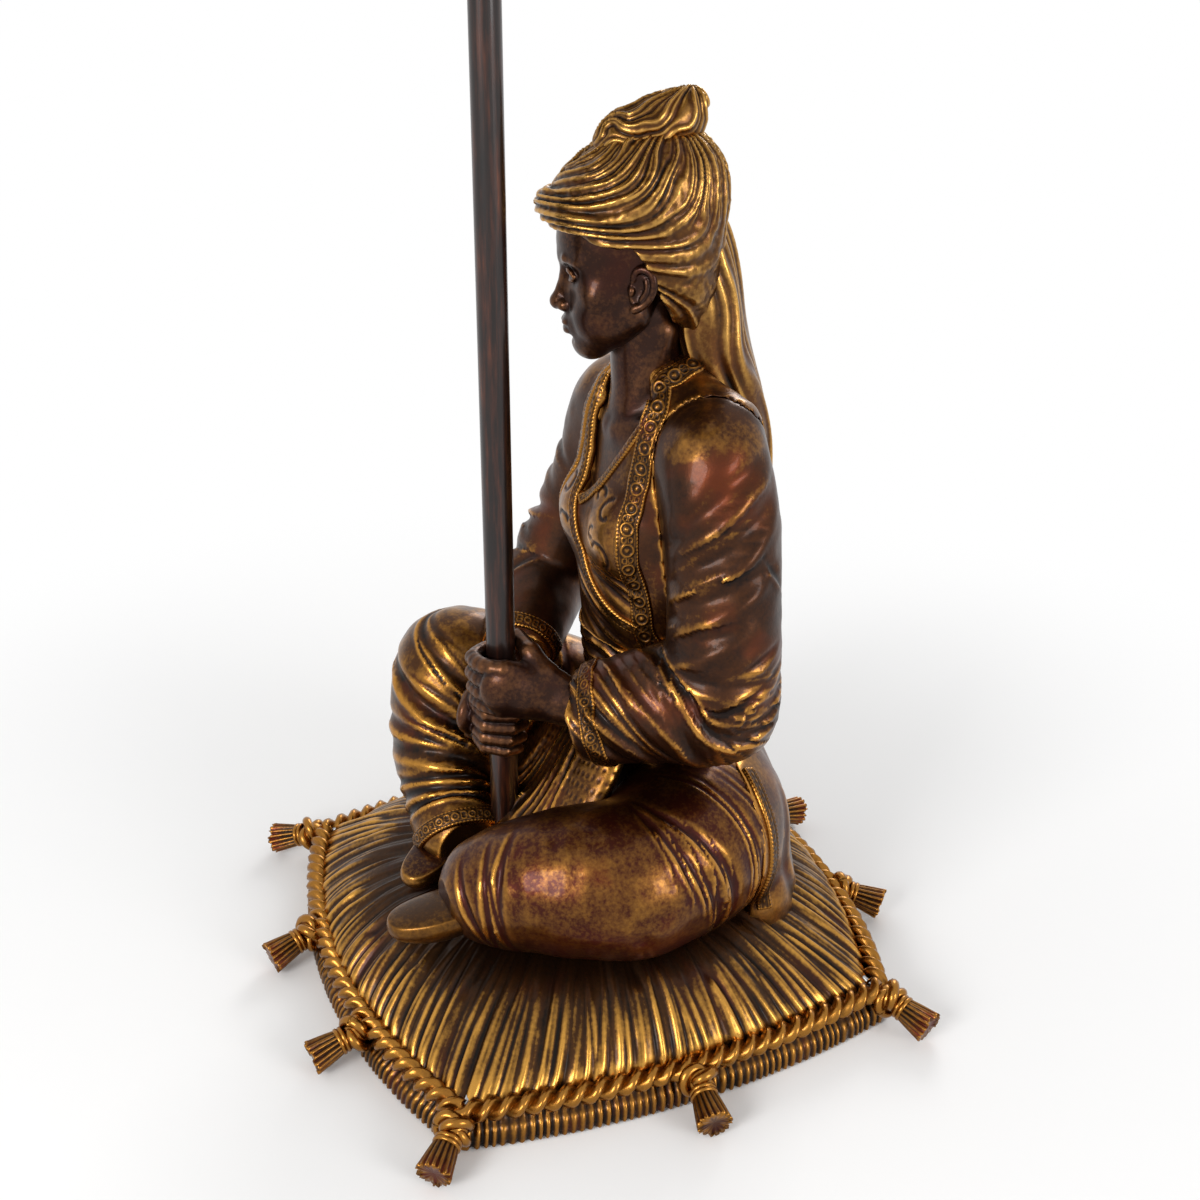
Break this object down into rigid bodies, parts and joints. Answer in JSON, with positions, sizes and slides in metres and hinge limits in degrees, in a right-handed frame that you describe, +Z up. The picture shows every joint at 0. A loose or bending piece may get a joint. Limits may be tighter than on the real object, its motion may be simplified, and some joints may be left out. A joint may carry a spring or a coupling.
{
  "type": "figural table lamp",
  "caption": "Cast figure of a robed woman seated on a tasselled cushion, holding a staff that carries a lamp holder, harp, bulb and drum shade.",
  "frame": {"origin": "on the resting face, under the middle of the cushion", "axes": "+Z up; the figure faces -Y; +X towards her left hand side"},
  "size_m": [0.3796, 0.4135, 0.8942],
  "materials": {
    "cushion_bronze": "cast bronze, dark brown patina rubbed to gold on the pleats",
    "trim_bronze": "cast bronze, gold patina with dark grooves",
    "robe_bronze": "cast bronze, mottled brown and orange patina",
    "trouser_bronze": "cast bronze, brown patina with gold folds",
    "skin_bronze": "cast bronze, smooth very dark brown patina",
    "hair_bronze": "cast bronze, combed gold patina",
    "staff_metal": "dark red-brown lacquer with streaks",
    "plate_steel": "black painted steel",
    "felt": "dark felt",
    "zinc_steel": "zinc plated steel",
    "lamp_brass": "aged brass",
    "shell_brass": "satin brass",
    "liner_card": "fibre",
    "core_plastic": "phenolic",
    "bushing_plastic": "moulded black",
    "bulb_cap": "threaded",
    "bulb_glass": "frosted",
    "shade_cloth": "plain woven linen on a stiff backing",
    "shade_wire": "brass coloured wire"
  },
  "bodies": {
    "lamp": {"base_nut": "zinc_steel", "base_plate": "plate_steel", "base_washer": "zinc_steel", "body": "robe_bronze", "centre_contact": "shell_brass", "coat_skirt": "robe_bronze", "collar_bands": "trim_bronze", "cord_bushing": "bushing_plastic", "cuff_bands": "trim_bronze", "cushion_shell": "cushion_bronze", "felt_pad": "felt", "hair": "hair_bronze", "hair_bun": "hair_bronze", "hair_tail": "hair_bronze", "hand_left": "skin_bronze", "hand_right": "skin_bronze", "harp": "lamp_brass", "harp_saddle": "lamp_brass", "head": "skin_bronze", "lamp_pipe": "zinc_steel", "lap_cloth": "trim_bronze", "lapel_bands": "trim_bronze", "leg_left": "trouser_bronze", "leg_right": "trouser_bronze", "lock_washer": "zinc_steel", "plate_screws": "zinc_steel", "rope_border": "trim_bronze", "sash": "robe_bronze", "screw_shell": "shell_brass", "shoe_left": "trim_bronze", "shoe_right": "trim_bronze", "sleeve_left": "robe_bronze", "sleeve_right": "robe_bronze", "socket_cap": "shell_brass", "socket_liner": "liner_card", "socket_shell": "shell_brass", "staff": "staff_metal", "staff_cap": "lamp_brass", "switch_core": "core_plastic", "tassel_back_left": "trim_bronze", "tassel_back_right": "trim_bronze", "tassel_corner_back_left": "trim_bronze", "tassel_corner_back_right": "trim_bronze", "tassel_corner_front_left": "trim_bronze", "tassel_corner_front_right": "trim_bronze", "tassel_front_left": "trim_bronze", "tassel_front_right": "trim_bronze", "tassel_side_left": "trim_bronze", "tassel_side_right": "trim_bronze", "tassel_studs": "zinc_steel", "terminal_screws": "shell_brass"},
    "knob": {"switch_knob": "core_plastic"},
    "bulb": {"bulb_base": "bulb_cap", "bulb_glass": "bulb_glass"},
    "shade": {"shade_cover": "shade_cloth", "shade_bottom_ring": "shade_wire", "shade_spider": "shade_wire"},
    "finial": {"finial": "lamp_brass"},
    "ferrule_left": {"harp_ferrule_left": "lamp_brass"},
    "ferrule_right": {"harp_ferrule_right": "lamp_brass"}
  },
  "joints": [
    {"name": "switch_turn", "type": "hinge", "parent": "lamp", "child": "knob", "pos_m": [0, -0.047, 0.6762], "axis": [0, 1, 0], "continuous": true},
    {"name": "bulb_screw", "type": "hinge", "parent": "lamp", "child": "bulb", "pos_m": [0, -0.047, 0.7], "axis": [0, 0, 1], "range_deg": [0, 1800]},
    {"name": "shade_turn", "type": "hinge", "parent": "lamp", "child": "shade", "pos_m": [0, -0.047, 0.868], "axis": [0, 0, 1], "continuous": true},
    {"name": "finial_screw", "type": "hinge", "parent": "lamp", "child": "finial", "pos_m": [0, -0.047, 0.88], "axis": [0, 0, 1], "range_deg": [0, 2880]},
    {"name": "ferrule_left_lift", "type": "slide", "parent": "lamp", "child": "ferrule_left", "axis": [0, 0, 1], "range_m": [0, 0.009]},
    {"name": "ferrule_right_lift", "type": "slide", "parent": "lamp", "child": "ferrule_right", "axis": [0, 0, 1], "range_m": [0, 0.009]}
  ]
}
